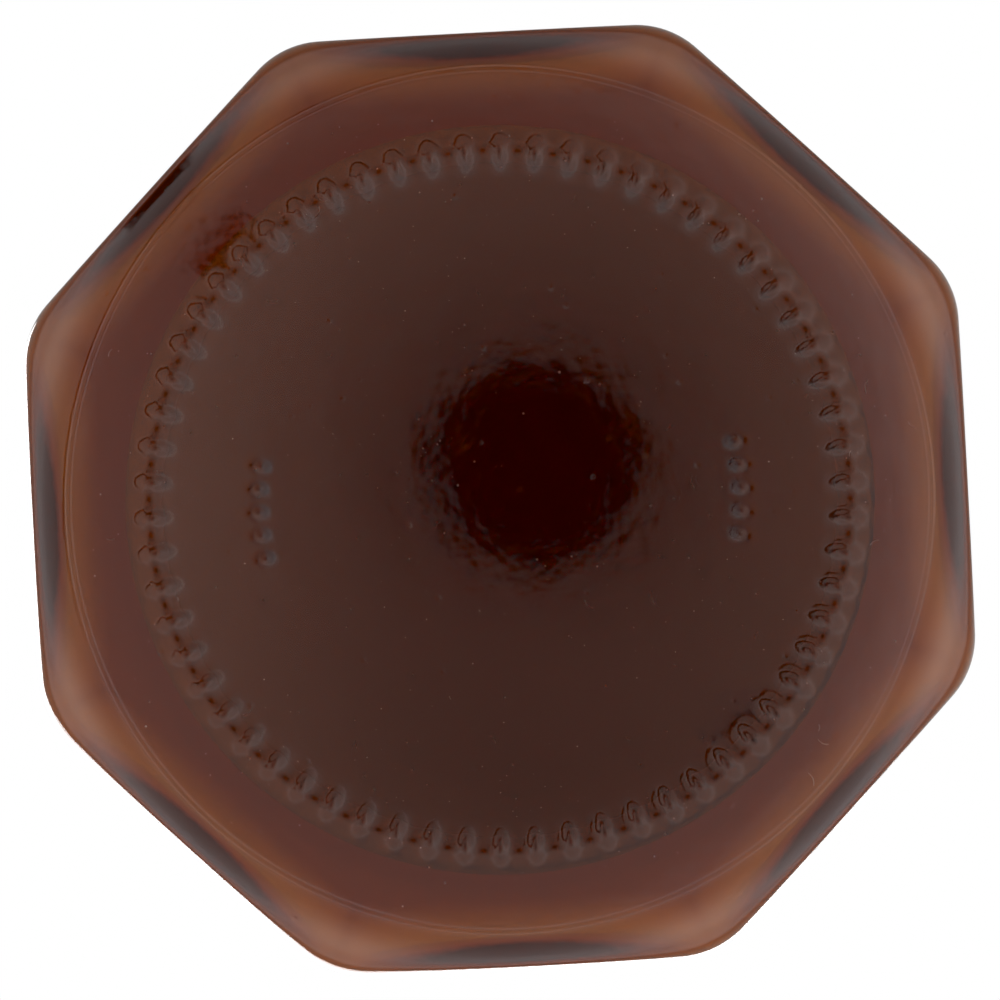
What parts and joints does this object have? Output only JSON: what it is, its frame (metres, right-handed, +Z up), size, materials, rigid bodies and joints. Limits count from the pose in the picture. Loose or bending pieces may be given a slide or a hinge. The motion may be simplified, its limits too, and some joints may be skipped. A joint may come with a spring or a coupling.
{
  "type": "pump dispenser bottle",
  "caption": "Octagonal amber glass dispenser bottle with a ribbed base and a black screw-on piston pump whose swivelling spout dispenses liquid when pressed.",
  "frame": {"origin": "centre of the base, on the plane that the bottle stands on", "axes": "+Z up the bottle, +X along the spout and square to a flat, +Y to the left of the spout"},
  "size_m": [0.07, 0.07, 0.2141],
  "materials": {
    "amber_glass": "moulded, fire polished",
    "contents": "dark liquid",
    "pump_black": "moulded, satin",
    "natural_plastic": "milky, moulded",
    "gasket_foam": "die cut",
    "spring_wire": "drawn wire",
    "ball_steel": "polished"
  },
  "bodies": {
    "bottle": {"bottle": "amber_glass", "liquid_fill": "contents"},
    "pump_unit": {"pump_housing": "natural_plastic", "guide_ring": "pump_black", "neck_gasket": "gasket_foam", "dip_tube": "natural_plastic", "return_spring": "spring_wire"},
    "closure": {"closure": "pump_black"},
    "piston_rod": {"stem": "natural_plastic", "piston": "natural_plastic", "stem_plug": "natural_plastic"},
    "pump_head": {"pump_head": "pump_black"},
    "inlet_ball": {"inlet_ball": "ball_steel"},
    "outlet_ball": {"outlet_ball": "ball_steel"}
  },
  "joints": [
    {"name": "pump_rise", "type": "slide", "parent": "bottle", "child": "pump_unit", "axis": [0, 0, 1], "range_m": [0, 0.00529]},
    {"name": "closure_turn", "type": "hinge", "parent": "pump_unit", "child": "closure", "pos_m": [0, 0, 0.18105], "axis": [0, 0, 1], "range_deg": [0, 451]},
    {"name": "pump_stroke", "type": "slide", "parent": "pump_unit", "child": "piston_rod", "axis": [0, 0, -1], "range_m": [0, 0.014], "stiffness_N_per_m": 700, "springref_m": -0.012, "deforming": ["return_spring"]},
    {"name": "head_turn", "type": "hinge", "parent": "piston_rod", "child": "pump_head", "pos_m": [0, 0, 0.18105], "axis": [0, 0, 1], "continuous": true},
    {"name": "inlet_ball_lift", "type": "slide", "parent": "pump_unit", "child": "inlet_ball", "axis": [0, 0, 1], "range_m": [0, 0.003]},
    {"name": "outlet_ball_lift", "type": "slide", "parent": "piston_rod", "child": "outlet_ball", "axis": [0, 0, 1], "range_m": [0, 0.001]}
  ],
  "couplings": [
    {"joint": "closure_turn", "follows": "pump_rise", "rad_per_m": 1485.4}
  ]
}
